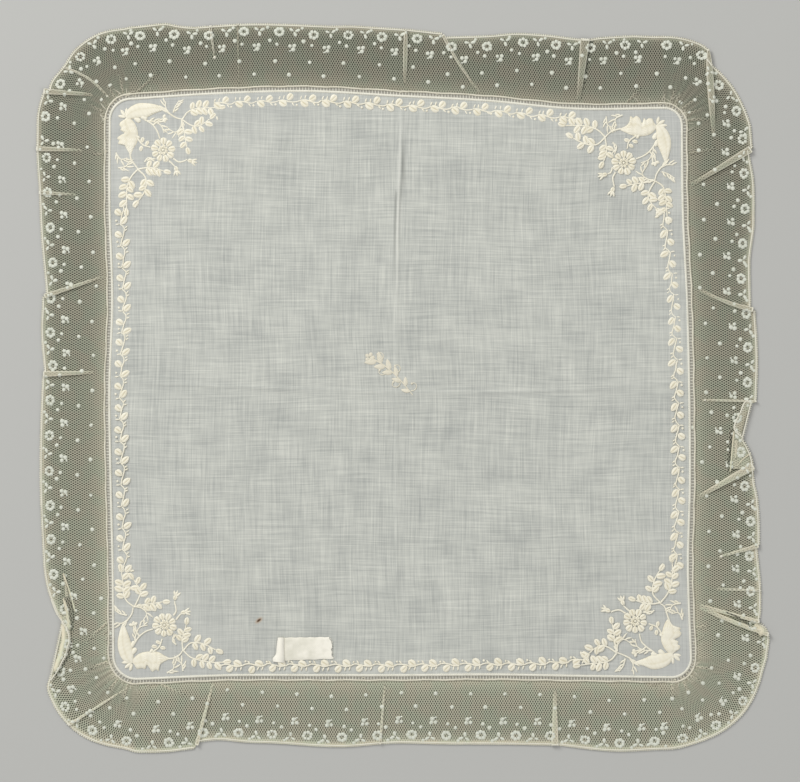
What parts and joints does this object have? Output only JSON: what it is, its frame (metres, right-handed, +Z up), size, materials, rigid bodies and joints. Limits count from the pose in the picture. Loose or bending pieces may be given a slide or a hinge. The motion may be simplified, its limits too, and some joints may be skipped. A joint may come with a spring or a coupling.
{
  "type": "lace-edged handkerchief",
  "caption": "Square sheer lawn handkerchief with a vine-embroidered border and a gathered net lace frill, lying flat with its pressed pleats and a blank tape label.",
  "frame": {"origin": "middle of the handkerchief's outline, on the surface that it lies on", "axes": "+Z up from the surface, through the thickness of the cloth; +Y towards the top edge as seen in the picture; +X towards its right edge"},
  "size_m": [0.41, 0.4082, 0.0029],
  "materials": {
    "lawn": "sheer white cotton lawn, plain weave, matt, slightly aged",
    "beading": "openwork cotton insertion with cream stitching, matt",
    "net_lace": "fine cotton net lace with cream thread edge, matt",
    "tape": "woven cotton tape, cream white, matt"
  },
  "bodies": {
    "root": {"lawn_panel": "lawn", "insertion_band": "beading", "lace_frill": "net_lace", "tape_label": "tape"}
  },
  "joints": []
}
